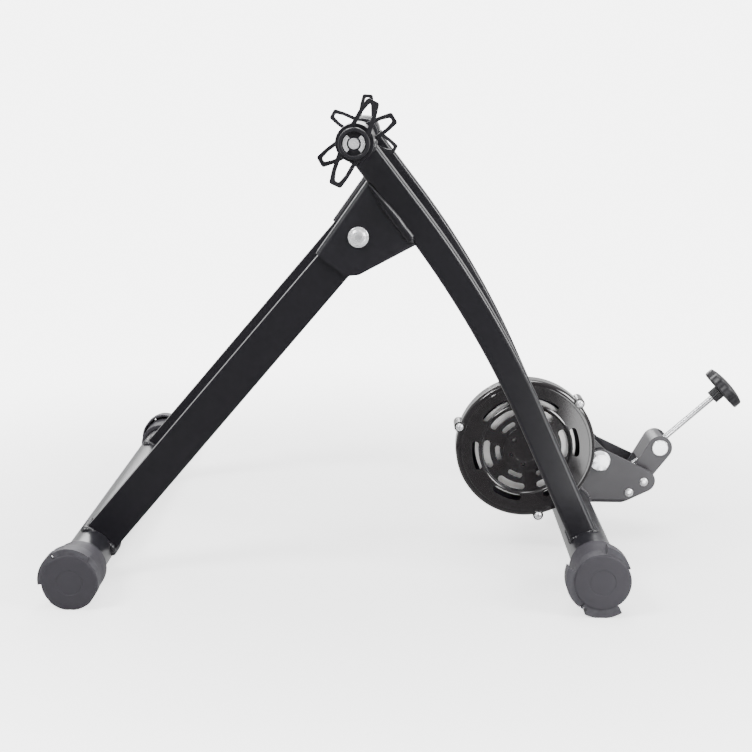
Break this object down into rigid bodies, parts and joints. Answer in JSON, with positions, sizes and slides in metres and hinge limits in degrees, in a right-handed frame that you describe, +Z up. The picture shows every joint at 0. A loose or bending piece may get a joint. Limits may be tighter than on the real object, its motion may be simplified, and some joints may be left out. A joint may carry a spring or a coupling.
{
  "type": "magnetic bike trainer",
  "caption": "Folding steel A-frame stand with winged axle clamps, curved rear legs and a swinging magnetic roller unit set by a threaded knob rod.",
  "frame": {"origin": "on the floor, under the middle of the whole object's length and width", "axes": "+X towards the roller unit and its knob (the wheel's axle is nearer -X), +Y to the right side across the stand, +Z up"},
  "size_m": [0.647, 0.53, 0.4314],
  "materials": {
    "black_paint": "satin black paint on steel",
    "black_gloss": "gloss black paint on pressed steel",
    "grey_plastic": "fine matte texture, dark grey",
    "zinc": "bright zinc plate",
    "bare_steel": "turned bare steel",
    "aluminium": "machined aluminium",
    "iron": "oiled cast iron and mild steel plate",
    "ferrite": "dull sintered ferrite"
  },
  "bodies": {
    "frame": {"rear_crossbar": "black_paint", "rear_leg_left": "black_paint", "rear_leg_right": "black_paint", "fold_bracket_left": "black_paint", "fold_bracket_right": "black_paint", "fold_bolt_left": "zinc", "fold_bolt_right": "zinc", "fold_nut_left": "zinc", "fold_nut_right": "zinc", "fold_washer_inner_left": "zinc", "fold_washer_inner_right": "zinc", "fold_washer_outer_left": "zinc", "fold_washer_outer_right": "zinc", "axle_boss_left": "black_paint", "axle_boss_right": "black_paint", "unit_bracket": "black_paint", "adjuster_ear": "black_paint", "ear_pin_lower": "zinc", "ear_pin_upper": "zinc", "barrel_nut": "zinc", "yoke_pivot_bolt": "zinc", "yoke_pivot_nut": "zinc", "yoke_pivot_washer": "zinc"},
    "front_frame": {"front_crossbar": "black_paint", "front_leg_left": "black_paint", "front_leg_right": "black_paint"},
    "front_cap_left": {"front_foot_cap_left": "grey_plastic"},
    "front_cap_right": {"front_foot_cap_right": "grey_plastic"},
    "rear_cap_left": {"rear_foot_cap_left": "grey_plastic"},
    "rear_cap_right": {"rear_foot_cap_right": "grey_plastic"},
    "cup_left": {"axle_cup_left": "black_paint"},
    "cup_right": {"axle_cup_right": "black_paint"},
    "spindle_left": {"axle_spindle_left": "zinc", "spindle_handle_left": "grey_plastic"},
    "spindle_right": {"axle_spindle_right": "zinc", "spindle_handle_right": "grey_plastic"},
    "locknut_left": {"lock_nut_left": "grey_plastic"},
    "locknut_right": {"lock_nut_right": "grey_plastic"},
    "resistance_unit": {"unit_yoke": "black_paint", "shaft_bearing_left": "bare_steel", "shaft_bearing_right": "bare_steel", "cover_back": "black_gloss", "cover_front": "black_gloss", "cover_screw_1": "zinc", "cover_screw_2": "zinc", "cover_screw_3": "zinc", "magnet_carrier": "iron", "magnet_ring": "ferrite"},
    "roller_assembly": {"roller": "bare_steel", "roller_shaft": "bare_steel", "flywheel": "iron", "rotor_disc": "aluminium", "shaft_nut": "zinc"},
    "push_tip": {"rod_tip": "zinc"},
    "adjuster_screw": {"adjuster_rod": "zinc", "adjuster_knob": "grey_plastic"}
  },
  "joints": [
    {"name": "front_frame_fold", "type": "hinge", "parent": "frame", "child": "front_frame", "pos_m": [-0.0565, 0, 0.3115], "axis": [0, -1, 0], "range_deg": [0, 66]},
    {"name": "rear_cap_left_turn", "type": "hinge", "parent": "frame", "child": "rear_cap_left", "pos_m": [0.1539, 0, 0.0315], "axis": [0, 1, 0], "continuous": true},
    {"name": "front_cap_left_turn", "type": "hinge", "parent": "front_frame", "child": "front_cap_left", "pos_m": [-0.2968, 0, 0.0245], "axis": [0, 1, 0], "continuous": true},
    {"name": "rear_cap_right_turn", "type": "hinge", "parent": "frame", "child": "rear_cap_right", "pos_m": [0.1539, 0, 0.0315], "axis": [0, 1, 0], "continuous": true},
    {"name": "front_cap_right_turn", "type": "hinge", "parent": "front_frame", "child": "front_cap_right", "pos_m": [-0.2968, 0, 0.0245], "axis": [0, 1, 0], "continuous": true},
    {"name": "cup_left_feed", "type": "slide", "parent": "frame", "child": "cup_left", "axis": [0, 1, 0], "range_m": [-0.02, 0.0025]},
    {"name": "spindle_left_turn", "type": "hinge", "parent": "cup_left", "child": "spindle_left", "pos_m": [-0.0598, 0, 0.3925], "axis": [0, 1, 0], "range_deg": [-3700, 500]},
    {"name": "locknut_left_turn", "type": "hinge", "parent": "frame", "child": "locknut_left", "pos_m": [-0.0598, 0, 0.3925], "axis": [0, 1, 0], "range_deg": [-180, 0]},
    {"name": "cup_right_feed", "type": "slide", "parent": "frame", "child": "cup_right", "axis": [0, -1, 0], "range_m": [-0.02, 0.0025]},
    {"name": "spindle_right_turn", "type": "hinge", "parent": "cup_right", "child": "spindle_right", "pos_m": [-0.0598, 0, 0.3925], "axis": [0, -1, 0], "range_deg": [-3700, 500]},
    {"name": "locknut_right_turn", "type": "hinge", "parent": "frame", "child": "locknut_right", "pos_m": [-0.0598, 0, 0.3925], "axis": [0, -1, 0], "range_deg": [-180, 0]},
    {"name": "unit_swing", "type": "hinge", "parent": "frame", "child": "resistance_unit", "pos_m": [0.1811, 0, 0.0775], "axis": [0, 1, 0], "range_deg": [-1, 20]},
    {"name": "roller_spin", "type": "hinge", "parent": "resistance_unit", "child": "roller_assembly", "pos_m": [0.1018, 0, 0.1028], "axis": [0, 1, 0], "continuous": true},
    {"name": "push_tip_travel", "type": "slide", "parent": "frame", "child": "push_tip", "axis": [-0.7373, 0, -0.6756], "range_m": [-0.001, 0.013]},
    {"name": "adjuster_turn", "type": "hinge", "parent": "push_tip", "child": "adjuster_screw", "pos_m": [0.2422, 0, 0.088], "axis": [-0.7373, 0, -0.6756], "range_deg": [-400, 4300]}
  ],
  "couplings": [
    {"joint": "spindle_left_turn", "follows": "cup_left_feed", "rad_per_m": 3141.6},
    {"joint": "spindle_right_turn", "follows": "cup_right_feed", "rad_per_m": 3141.6},
    {"joint": "push_tip_travel", "follows": "unit_swing", "m_per_rad": 0.0326},
    {"joint": "adjuster_turn", "follows": "unit_swing", "ratio": 204.83}
  ]
}
